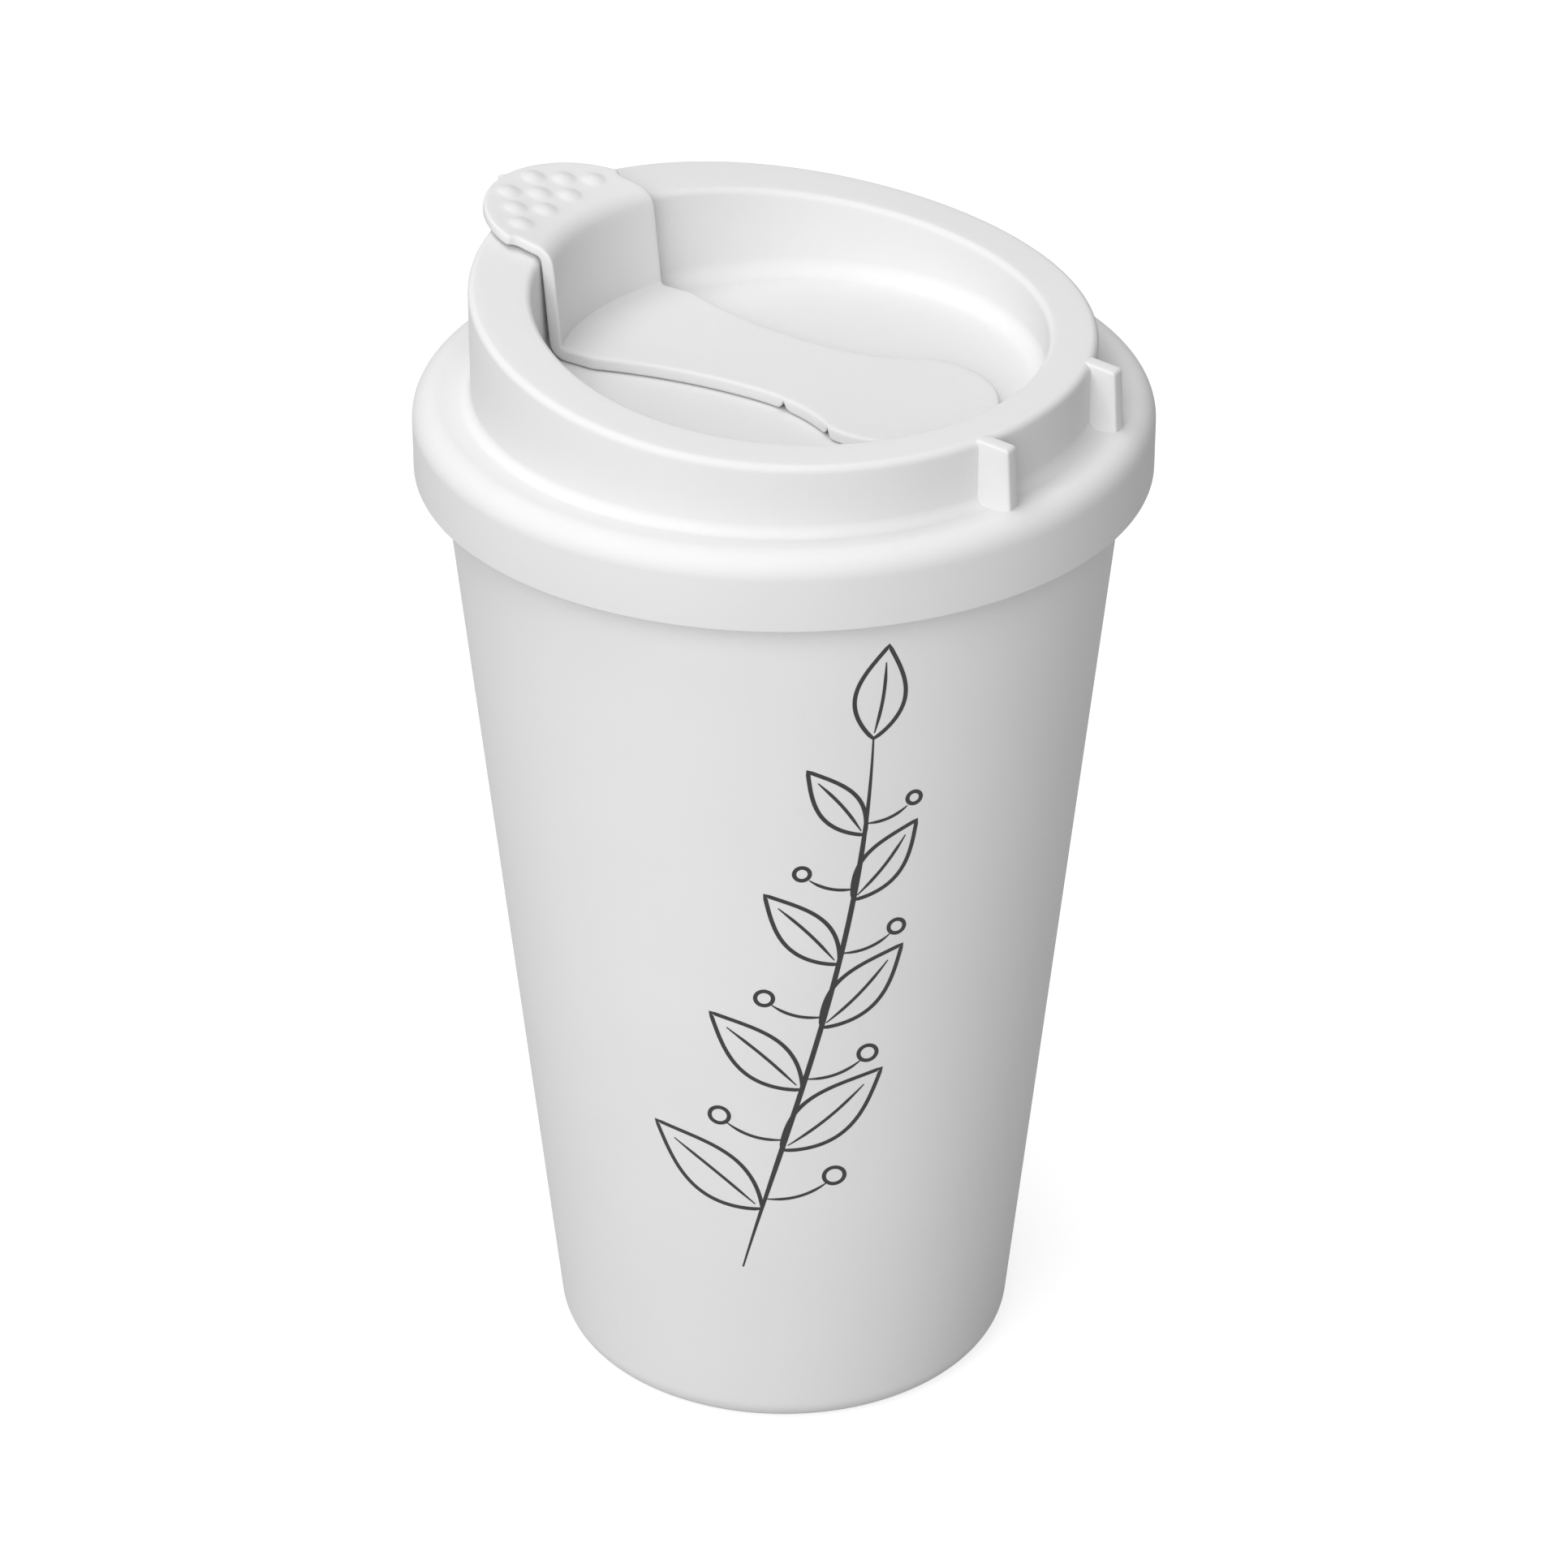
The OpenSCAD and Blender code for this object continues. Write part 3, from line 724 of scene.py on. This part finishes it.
def lid_section(a):
    """The lid's section at one direction, from the middle of its floor over the rim and back under it."""
    ca, sa = math.cos(a), math.sin(a)
    draft = math.radians(BASIN_DRAFT)

    def on_axis(r, z):
        return (r * ca, r * sa, z)

    def on_basin(r, z):
        return (r * ca, BASIN_SHIFT + r * sa, z)

    # Where the rim's inner rounding meets the basin's wall, by repeated tries
    rc = basin_wall(RIM_LOW + 4) + RIM_ROUND_IN
    for _ in range(6):
        top = rim_z(BASIN_SHIFT + rc * sa)
        rc = basin_wall(top - RIM_ROUND_IN * (1 - math.sin(draft))) + RIM_ROUND_IN * math.cos(draft)

    # The basin's floor and wall
    points = [on_basin(r, BASIN_Z) for r in FLOOR_RINGS]
    points += [on_basin(r, z) for r, z in BASIN_FILLET]
    z0 = BASIN_FILLET[-1][1]
    z1 = top - RIM_ROUND_IN * (1 - math.sin(draft))
    points += [on_basin(basin_wall(z0 + (z1 - z0) * t), z0 + (z1 - z0) * t) for t in QUARTERS]

    # The rim: its inner rounding, its top and its outer rounding
    for k in range(ROUND_STEPS + 1):
        t = (math.pi / 2 - draft) * (1 - k / ROUND_STEPS)
        r = rc - RIM_ROUND_IN * math.sin(t)
        points.append(on_basin(r, rim_z(BASIN_SHIFT + r * sa) - RIM_ROUND_IN * (1 - math.cos(t))))
    x0, y0, _ = points[-1]
    r1 = RIM_R - RIM_ROUND_OUT
    for t in QUARTERS:
        x, y = x0 + (r1 * ca - x0) * t, y0 + (r1 * sa - y0) * t
        points.append((x, y, rim_z(y)))
    for k in range(ROUND_STEPS + 1):
        t = math.pi / 2 * (1 - k / ROUND_STEPS)
        r = RIM_R - RIM_ROUND_OUT * (1 - math.cos(t))
        points.append(on_axis(r, rim_z(r * sa) - RIM_ROUND_OUT * (1 - math.sin(t))))

    # The rim's outside, the shoulder, the collar and the skirt
    wall_top = points[-1][2]
    z0 = COLLAR_PATH[0][1]
    points += [on_axis(RIM_R, z0 + (wall_top - z0) * t) for t in (0.66, 0.33)]
    points += [on_axis(r, z) for r, z in COLLAR_PATH]

    # The hollow under the rim
    w = LID_WALL
    r = RIM_R - w
    z1 = rim_z(r * sa) - w
    points += [on_axis(r, z) for z in (z0 + 2, z1 - 0.8, z1 - 0.2)]
    points.append(on_axis(r - 0.5, rim_z((r - 0.5) * sa) - w))
    r = basin_wall(top - w) + w
    z1 = rim_z(BASIN_SHIFT + r * sa) - w
    points += [on_basin(r + 0.6, z1), on_basin(r + 0.1, z1 - 0.3), on_basin(basin_wall(z1 - 1) + w, z1 - 1)]

    # The underside of the floor
    points += [on_basin(r, z) for r, z in UNDER_FILLET]
    points += [on_basin(r, BASIN_Z - w) for r in UNDER_RINGS]
    return points


def slot_bar(width, z0, z1):
    """A closed bar with round ends between two heights, in the place of the drinking slot."""
    a0, a1 = math.radians(-90 - SLOT_HALF_A), math.radians(-90 + SLOT_HALF_A)

    def arc(r, start, end):
        turns = [start + (end - start) * i / SLOT_STEPS for i in range(SLOT_STEPS + 1)]
        return [(r * math.cos(a), r * math.sin(a)) for a in turns]

    def round_end(a, way):
        cx, cy = SLOT_R * math.cos(a), SLOT_R * math.sin(a)
        turns = [a + math.pi * k / SLOT_END_STEPS for k in range(1, SLOT_END_STEPS)]
        return [(cx + way * width / 2 * math.cos(t), cy + way * width / 2 * math.sin(t)) for t in turns]

    loop = arc(SLOT_R + width / 2, a0, a1) + round_end(a1, 1)
    loop += arc(SLOT_R - width / 2, a1, a0) + round_end(a0, -1)
    m = len(loop)
    verts = [(x, y, z0) for x, y in loop] + [(x, y, z1) for x, y in loop]
    faces = [tuple(range(m - 1, -1, -1)), tuple(range(m, 2 * m))]
    faces += [(i, (i + 1) % m, m + (i + 1) % m, m + i) for i in range(m)]
    return verts, faces


def rib_part(side):
    """One rib as an upright slab with soft edges, in line with the lid's plane of symmetry."""
    top = RIM_LOW + RIB_UP
    near_x, far_x = RIB_X - RIB_T / 2, RIB_X + RIB_T / 2
    foot_y = (math.sqrt(RIM_R ** 2 - far_x ** 2) + math.sqrt((RIM_R - LID_WALL) ** 2 - near_x ** 2)) / 2
    edge_y = math.sqrt((RIM_R - RIM_ROUND_OUT) ** 2 - RIB_X ** 2)
    loop = densify(rounded([
        (foot_y, shoulder_z(foot_y) - RIB_SINK, 0),
        (RIB_END_Y, shoulder_z(RIB_END_Y) - RIB_SINK, 0),
        (RIB_END_Y - RIB_LEAN, top - RIB_FALL, 0.6),
        (edge_y + 0.5, top, 0.4),
        (edge_y - 0.5, RIM_LOW - 0.5, 0),
        (foot_y, RIM_LOW - RIM_ROUND_OUT, 0),
    ], RIB_ARC), 0.6)
    us = [u for u, v in loop]
    inner = inside_grid(loop, even_lines(min(us), max(us), 1.0), 1.0, 0.8)

    def where(u, v, d):
        return (side * RIB_X + RIB_T / 2 - d, u, v)

    return slab(loop, where, lambda u, v: RIB_T, RIB_EDGE, inner=inner)


def build_lid():
    lid = make("lid_skin", *swept([lid_section(2 * math.pi * i / RINGS) for i in range(RINGS)]))
    slot_z = rim_z(-SLOT_R)
    holes = [slot_bar(SLOT_W, slot_z - LID_WALL - 2, RIM_HIGH + 3)]
    hole_r = STUD_R + STUD_CLEAR
    hole = [(0, HOLE_LOW), (hole_r, HOLE_LOW), (hole_r, HOLE_HIGH), (0, HOLE_HIGH)]
    for side in (-1, 1):
        holes.append(revolved(hole, (side * STUD_X, STUD_Y), STUD_RINGS))
    cut(lid, holes)
    return join(lid, make("ribs", *joined([rib_part(-1), rib_part(1)])))


dress(build_lid(), lid_plastic, "lid", "lid_plastic", "lid")


# Closure

TAB_SLOPE = (rim_z(-TAB_TIP_Y) - rim_z(-TAB_ROOT_R)) / (TAB_TIP_Y - TAB_ROOT_R)
BEND_STEP = 1.0
BUMPS = [
    ((i - (row + 1) / 2) * BUMP_PITCH, -(TAB_TIP_Y - BUMP_IN - row * BUMP_ROW))
    for row in range(3) for i in range(row + 2)
]


def tab_top(r):
    return rim_z(-TAB_ROOT_R) + TAB_GAP + TAB_T + (r - TAB_ROOT_R) * TAB_SLOPE


def half_width(y):
    """Half of the closure's width at a place along the strap."""
    from_waist = y + WAIST_Y
    bend = ANCHOR_FLANK_R if from_waist > 0 else FLANK_R
    flank = WAIST_HALF_W + bend - math.sqrt(max(0.0, bend ** 2 - from_waist ** 2))
    if y < ANCHOR_Y - ANCHOR_R / 2:
        return min(flank, WALL_HALF_W)
    return min(flank, math.sqrt(max(0.0, ANCHOR_R ** 2 - (y - ANCHOR_Y) ** 2)))


def bend_line():
    """The flap's upper side in section, from its fold to beyond its tip.

    Each row holds an arc length, r, z, and the normal's r and z.
    """
    lean = math.tan(math.radians(WALL_DRAFT))
    # The wall's line meets the tab's line
    r = (WALL_R + (tab_top(0) - PLATE_TOP) * lean) / (1 - TAB_SLOPE * lean)
    path = rounded([
        (-FOLD_1_Y, PLATE_TOP, 0),
        (WALL_R, PLATE_TOP, WALL_FOOT_ROUND),
        (r, tab_top(r), WALL_TOP_ROUND),
        (TAB_TIP_Y + 2, tab_top(TAB_TIP_Y + 2), 0),
    ], FINE_ARC)
    fine = []
    for (x0, y0), (x1, y1) in zip(path, path[1:]):
        n = max(1, math.ceil(math.hypot(x1 - x0, y1 - y0) / BEND_STEP))
        fine += [(x0 + (x1 - x0) * k / n, y0 + (y1 - y0) * k / n) for k in range(n)]
    fine.append(path[-1])
    rows, s = [], 0.0
    for i, (x, y) in enumerate(fine):
        if i:
            s += math.hypot(x - fine[i - 1][0], y - fine[i - 1][1])
        a, b = fine[max(0, i - 1)], fine[min(len(fine) - 1, i + 1)]
        d = math.hypot(b[0] - a[0], b[1] - a[1])
        rows.append((s, x, y, (b[1] - a[1]) / d, -(b[0] - a[0]) / d))
    return rows


ROWS = bend_line()
S_END, R_END = ROWS[-1][:2]
S_TAB = next(s for s, r, z, nr, nz in ROWS if abs(nr) < 0.3 and z > PLATE_TOP + 4)


def at(s):
    """The bend line at an arc length: r, z and the normal."""
    s = min(max(s, 0.0), S_END)
    lo, hi = 0, len(ROWS) - 1
    while hi - lo > 1:
        mid = (lo + hi) // 2
        if ROWS[mid][0] <= s:
            lo = mid
        else:
            hi = mid
    a, b = ROWS[lo], ROWS[hi]
    t = (s - a[0]) / (b[0] - a[0])
    return [a[k] + (b[k] - a[k]) * t for k in range(1, 5)]


def s_of_r(r):
    """Arc length at a radius on the tab's straight part."""
    return S_END - (R_END - r) * math.hypot(1, TAB_SLOPE)


def flap_thick(s, x):
    """The flap's thickness, which passes from the sheet's to the tab's where the tab begins."""
    return SHEET_T + (TAB_T - SHEET_T) * smooth_step((s - S_TAB + 3) / 3)


def web(y):
    """The plate's thickness near a fold, where a groove thins it from below."""
    d = min(abs(y - FOLD_1_Y), abs(y - FOLD_2_Y)) / (FOLD_W / 2)
    return FOLD_WEB + (SHEET_T - FOLD_WEB) * min(1.0, d)


def bump_lift(x, y):
    """Height of the grip bumps over the tab."""
    best = 0.0
    ball = (BUMP_R ** 2 + BUMP_H ** 2) / (2 * BUMP_H)
    for bx, by in BUMPS:
        d = math.hypot(x - bx, y - by)
        if d < BUMP_R + BUMP_SOFT:
            cap = math.sqrt(max(0, ball ** 2 - d ** 2)) - ball + BUMP_H
            soft = BUMP_H * smooth_step(1 - d / (BUMP_R + BUMP_SOFT))
            best = max(best, 0.5 * max(0, cap) + 0.5 * soft)
    return best


def flap_at(s, x, d):
    """A place on the flap, from its arc length, its x and a depth under its upper side."""
    r, z, nr, nz = at(s)
    if r <= BEND_R:
        # The plate: flat at its fold, and bent more and more like the wall towards it
        c = smooth_step((r + FOLD_1_Y) / (BEND_R + FOLD_1_Y))
        y = -r + c * (BEND_R - math.sqrt(BEND_R ** 2 - x ** 2))
        return (x, y, z - d * web(y) / SHEET_T)
    rl = r + nr * d
    y = -math.sqrt(max(0.0, rl ** 2 - x ** 2))
    lift = bump_lift(x, y) * max(0.0, 1 - d / 0.2) if s > S_TAB else 0
    return (x, y, z + nz * d + lift)


def flap_flank(s_root):
    """One edge (arc length, x) of the flap from its fold to the root of the tab's round end."""
    apart, wide = 0.12, 0.7
    steps = [0.0]
    for s, *_ in ROWS:
        gap = s - steps[-1]
        if gap > apart and s_root - s > apart:
            steps += [steps[-1] + gap / 2, s] if gap > wide else [s]
    edge = []
    for s in steps + [s_root]:
        # The width depends on y, and y on the width
        x = 10.0
        for _ in range(25):
            x = half_width(flap_at(s, x, 0)[1])
        edge.append((s, x))
    return edge


def lobe_edge():
    """One edge (x, y) of the tab's round end, from the notch at its root to the gate mark at its tip."""
    lobe = math.sqrt(TAB_R ** 2 - (LOBE_FROM_Y - TAB_Y) ** 2)
    cx, cy = lobe - NOTCH_D + NOTCH_R, -LOBE_FROM_Y
    edge = []
    for k in range(NOTCH_STEPS + 1):
        t = math.radians(180 + 90 / NOTCH_STEPS * k)
        p = (cx + NOTCH_R * math.cos(t), cy + NOTCH_R * math.sin(t))
        if math.hypot(p[0], p[1] + TAB_Y) < TAB_R - TINY:
            edge.append(p)
    start = math.atan2(edge[-1][1] + TAB_Y, edge[-1][0])
    for k in range(1, LOBE_STEPS + 1):
        t = start + (-math.pi / 2 - start) * k / LOBE_STEPS
        p = (TAB_R * math.cos(t), -TAB_Y + TAB_R * math.sin(t))
        if p[0] > GATE_W / 2 + 0.3:
            edge.append(p)
    edge.append((GATE_W / 2 + 0.1, -TAB_TIP_Y))
    edge.append((GATE_W / 2, -TAB_TIP_Y - GATE_OUT * 0.5))
    edge.append((0, -TAB_TIP_Y - GATE_OUT))
    return edge


def across_fold(place, w):
    """Points on a fold's line, from the sheet's edge at negative x to its other edge."""
    x = w - EDGE
    line = [(place, -x + TINY)]
    line += [(place, -x + 2 * x * k / FOLD_STEPS) for k in range(1, FOLD_STEPS)]
    line.append((place, x - TINY))
    return line


def flap_outline():
    """The flap's outline on its unrolled surface, as (arc length, x), with slab's flat and corners."""
    s_root = s_of_r(math.hypot(WALL_HALF_W, LOBE_FROM_Y))
    right = flap_flank(s_root) + [(s_of_r(math.hypot(x, y)), x) for x, y in lobe_edge()]
    # Two soft passes over the round end's corners
    for _ in range(2):
        new = list(right)
        for i in range(2, len(right) - 1):
            if right[i][0] > s_root - 1:
                a, b, c = right[i - 1], right[i], right[i + 1]
                new[i] = tuple(0.25 * a[k] + 0.5 * b[k] + 0.25 * c[k] for k in (0, 1))
        right = new
    left = [(s, -x) for s, x in reversed(right[:-1])]
    loop = right + left
    last = len(loop) - 1
    loop += across_fold(0.0, right[0][1])
    flat = set(range(last + 1, len(loop)))
    return loop, flat, {0: (0, -1), last: (0, 1)}


def flap_lines():
    """Arc lengths of the flap's inner rows of points, close together in the bends."""
    lines, s = [], 0.0
    while s < S_END:
        r, z, nr, nz = at(s)
        if 0.03 < abs(nr) < 0.993 and s < S_TAB + 0.5:
            s += 0.13 if z < PLATE_TOP + 2 else 0.25
        else:
            s += 0.9
        lines.append(s)
    return lines


def build_flap():
    loop, flat, corners = flap_outline()
    centres = [(s_of_r(math.hypot(x, y)), x) for x, y in BUMPS]
    clear = BUMP_R + 0.6
    grid = inside_grid(loop, flap_lines(), 0.9, EDGE + 0.25)
    inner = [p for p in grid if all(math.hypot(p[0] - c[0], p[1] - c[1]) > clear for c in centres)]
    for cs, cx in centres:
        inner.append((cs, cx))
        for r, n in BUMP_RINGS:
            # Some rings stand askew, so that their triangles interlock with the next ring's
            askew = 0.5 if n % 4 == 0 else 0
            for k in range(n):
                along = r * math.cos(2 * math.pi * (k + askew) / n)
                inner.append((cs + along, cx + r * math.sin(2 * math.pi * k / n)))
    flap = make("closure_flap_sheet", *slab(loop, flap_at, flap_thick, EDGE, flat, corners, inner))
    low, high = rim_z(-SLOT_R) - PLUG_DEPTH, tab_top(SLOT_R) - TAB_T / 2
    return join(flap, make("plug", *slot_bar(SLOT_W - 2 * PLUG_CLEAR, low, high)))


def flat_at(u, x, d):
    """A place on the flat plate; u runs against y."""
    return (x, -u, PLATE_TOP - d * web(-u) / SHEET_T)


def anchor_side(y0, y1):
    """One edge (y, x) of the anchor end, down the flank and round to the tip."""
    side = []
    for k in range(FLANK_STEPS):
        y = y0 + (ANCHOR_END_Y - y0) * k / FLANK_STEPS
        side.append((y, half_width(y)))
    start = math.asin((ANCHOR_END_Y - ANCHOR_Y) / ANCHOR_R)
    for k in range(ANCHOR_STEPS):
        t = start * (1 - k / ANCHOR_STEPS) + math.pi / 2 * k / ANCHOR_STEPS
        y = ANCHOR_Y + ANCHOR_R * math.sin(t)
        side.append((y, min(ANCHOR_R * math.cos(t), half_width(min(y1 - 1e-6, y)) + 1e-6)))
    side.append((y1, 0.0))
    return side


def strap_side(y0, y1):
    """One edge (y, x) of the stretch between the folds."""
    n = max(6, int((y1 - y0) / 0.5))
    ys = [y0 + (y1 - y0) * k / n for k in range(n + 1)]
    return [(y, half_width(y)) for y in ys]


def flat_sheet(side):
    """A flat stretch of the plate, from its edge (y, x) on one side. It is sharp where it meets a fold."""
    (y0, w0), (y1, w1) = side[0], side[-1]
    far = list(reversed(across_fold(-y1, w1))) if w1 > 0 else []
    left = [(-y, -x) for y, x in reversed(side) if x > 0]
    near = across_fold(-y0, w0)
    right = [(-y, x) for y, x in side]
    loop = far + left + near + right

    near_from = len(far) + len(left)
    right_from = near_from + len(near)
    flat = set(range(len(far))) | set(range(near_from, right_from))
    corners = {near_from - 1: (0, 1), right_from: (0, -1)}
    if far:
        corners[len(far)] = (0, 1)
        corners[len(loop) - 1] = (0, -1)

    us = [u for u, v in loop]
    inner = inside_grid(loop, even_lines(min(us), max(us), 0.8), 1.0, EDGE + 0.3)
    # The edges of the folds' grooves
    for y in (y0 + FOLD_W / 2, y1 - FOLD_W / 2):
        inner += [(-y, x) for x in range(-6, 7)]
    return slab(loop, flat_at, lambda u, x: SHEET_T, EDGE, flat, corners, inner)


def build_strap():
    return make("closure_strap_sheet", *flat_sheet(strap_side(FOLD_1_Y, FOLD_2_Y)))


def build_base():
    parts = [flat_sheet(anchor_side(FOLD_2_Y, ANCHOR_Y + ANCHOR_R))]
    foot = BASIN_Z - LID_WALL - STUD_CLEAR
    stud = rounded([
        (0, PLATE_Z + 0.3, 0),
        (STUD_R + STUD_COLLAR, PLATE_Z + 0.3, 0),
        (STUD_R + STUD_COLLAR, BASIN_Z, 0.2),
        (STUD_R, BASIN_Z, 0),
        (STUD_R, foot, 0),
        (STUD_R + STUD_CLEAR + STUD_HEAD, foot, 0.1),
        (STUD_R - 0.2, foot - STUD_HEAD_H, 0.4),
        (0, foot - STUD_HEAD_H, 0),
    ], STUD_ARC)
    for side in (-1, 1):
        parts.append(revolved(stud, (side * STUD_X, STUD_Y), STUD_RINGS))
    return make("closure_anchor", *joined(parts))


dress(build_flap(), closure_plastic, "flap", "closure_plastic", "closure_flap")
dress(build_strap(), closure_plastic, "strap", "closure_plastic", "closure_strap")
dress(build_base(), closure_plastic, "lid", "closure_plastic", "closure_base")


# Stage, light and camera, in metres

PHOTO_PX = 1932
FOCAL_PX = 7152.7
SENSOR_W = 36
CAMERA_PLACE = (0.54696, 0.35520, 0.45870)
CAMERA_LOOK = (-0.7256, -0.4712, -0.5015)
CAMERA_TURN = math.radians(123)
FLOOR_HALF = 6.0
FLOOR_DROP = 0.00005
FLOOR_GREY = (0.52, 0.52, 0.52, 1)
FLOOR_GLOW = 0.72
WORLD_FILL = 0.33
WHITE = (1, 1, 1, 1)


def seen(x, y, z):
    """A place given as right of, behind and above the cup as the camera sees it."""
    c, s = math.cos(CAMERA_TURN), math.sin(CAMERA_TURN)
    return Vector((x * c - y * s, x * s + y * c, z))


def looked_at(nodes, links):
    """1 for rays from the camera and from a highlight, 0 for the light that falls on things."""
    path = nodes.new("ShaderNodeLightPath")
    direct = nodes.new("ShaderNodeMath")
    direct.operation = "MAXIMUM"
    links.new(path.outputs["Is Camera Ray"], direct.inputs[0])
    links.new(path.outputs["Is Glossy Ray"], direct.inputs[1])
    return direct.outputs[0]


def stage_material():
    """A grey floor that glows white where it is looked at."""
    mat, nodes, links = blank_material("studio_floor")
    nodes.clear()
    out = nodes.new("ShaderNodeOutputMaterial")
    diffuse = nodes.new("ShaderNodeBsdfDiffuse")
    diffuse.inputs["Color"].default_value = FLOOR_GREY
    glow = nodes.new("ShaderNodeEmission")
    glow.inputs["Color"].default_value = WHITE
    glow.inputs["Strength"].default_value = FLOOR_GLOW
    both = nodes.new("ShaderNodeAddShader")
    links.new(diffuse.outputs[0], both.inputs[0])
    links.new(glow.outputs[0], both.inputs[1])
    mix = nodes.new("ShaderNodeMixShader")
    links.new(looked_at(nodes, links), mix.inputs["Fac"])
    links.new(diffuse.outputs[0], mix.inputs[1])
    links.new(both.outputs[0], mix.inputs[2])
    links.new(mix.outputs[0], out.inputs["Surface"])
    return mat


def build_stage():
    h = FLOOR_HALF
    mesh = bpy.data.meshes.new("floor")
    mesh.from_pydata([(-h, -h, 0), (h, -h, 0), (h, h, 0), (-h, h, 0)], [], [(0, 1, 2, 3)])
    floor = bpy.data.objects.new("floor", mesh)
    floor.location.z = -FLOOR_DROP
    bpy.context.scene.collection.objects.link(floor)
    mesh.materials.append(stage_material())


def area_light(name, place, target, size, watts):
    lamp = bpy.data.lights.new(name, "AREA")
    lamp.shape = "RECTANGLE"
    lamp.size, lamp.size_y = size
    lamp.energy = watts
    obj = bpy.data.objects.new(name, lamp)
    obj.location = seen(*place)
    obj.rotation_mode = "QUATERNION"
    obj.rotation_quaternion = (obj.location - seen(*target)).to_track_quat("Z", "Y")
    bpy.context.scene.collection.objects.link(obj)


def build_light():
    area_light("key", place=(-0.29, -0.91, 0.66), target=(0, 0, 0.09), size=(1.0, 0.9), watts=8.9)
    area_light("top", place=(-0.36, 0.04, 1.16), target=(0, 0, 0.1), size=(0.8, 0.8), watts=5.9)
    world = bpy.data.worlds.new("studio")
    bpy.context.scene.world = world
    world.use_nodes = True
    nodes, links = world.node_tree.nodes, world.node_tree.links
    back = nodes["Background"]
    back.inputs["Color"].default_value = WHITE
    level = nodes.new("ShaderNodeMapRange")
    level.inputs["To Min"].default_value = WORLD_FILL
    level.inputs["To Max"].default_value = 1.0
    links.new(looked_at(nodes, links), level.inputs["Value"])
    links.new(level.outputs["Result"], back.inputs["Strength"])


def build_camera():
    data = bpy.data.cameras.new("camera")
    data.sensor_width = SENSOR_W
    data.lens = FOCAL_PX / PHOTO_PX * SENSOR_W
    data.clip_start = 0.05
    data.clip_end = 50
    cam = bpy.data.objects.new("camera", data)
    bpy.context.scene.collection.objects.link(cam)
    cam.location = CAMERA_PLACE
    cam.rotation_mode = "QUATERNION"
    cam.rotation_quaternion = Vector(CAMERA_LOOK).to_track_quat("-Z", "Y")
    bpy.context.scene.camera = cam


build_stage()
build_light()
build_camera()
bpy.context.scene.view_settings.view_transform = "Standard"
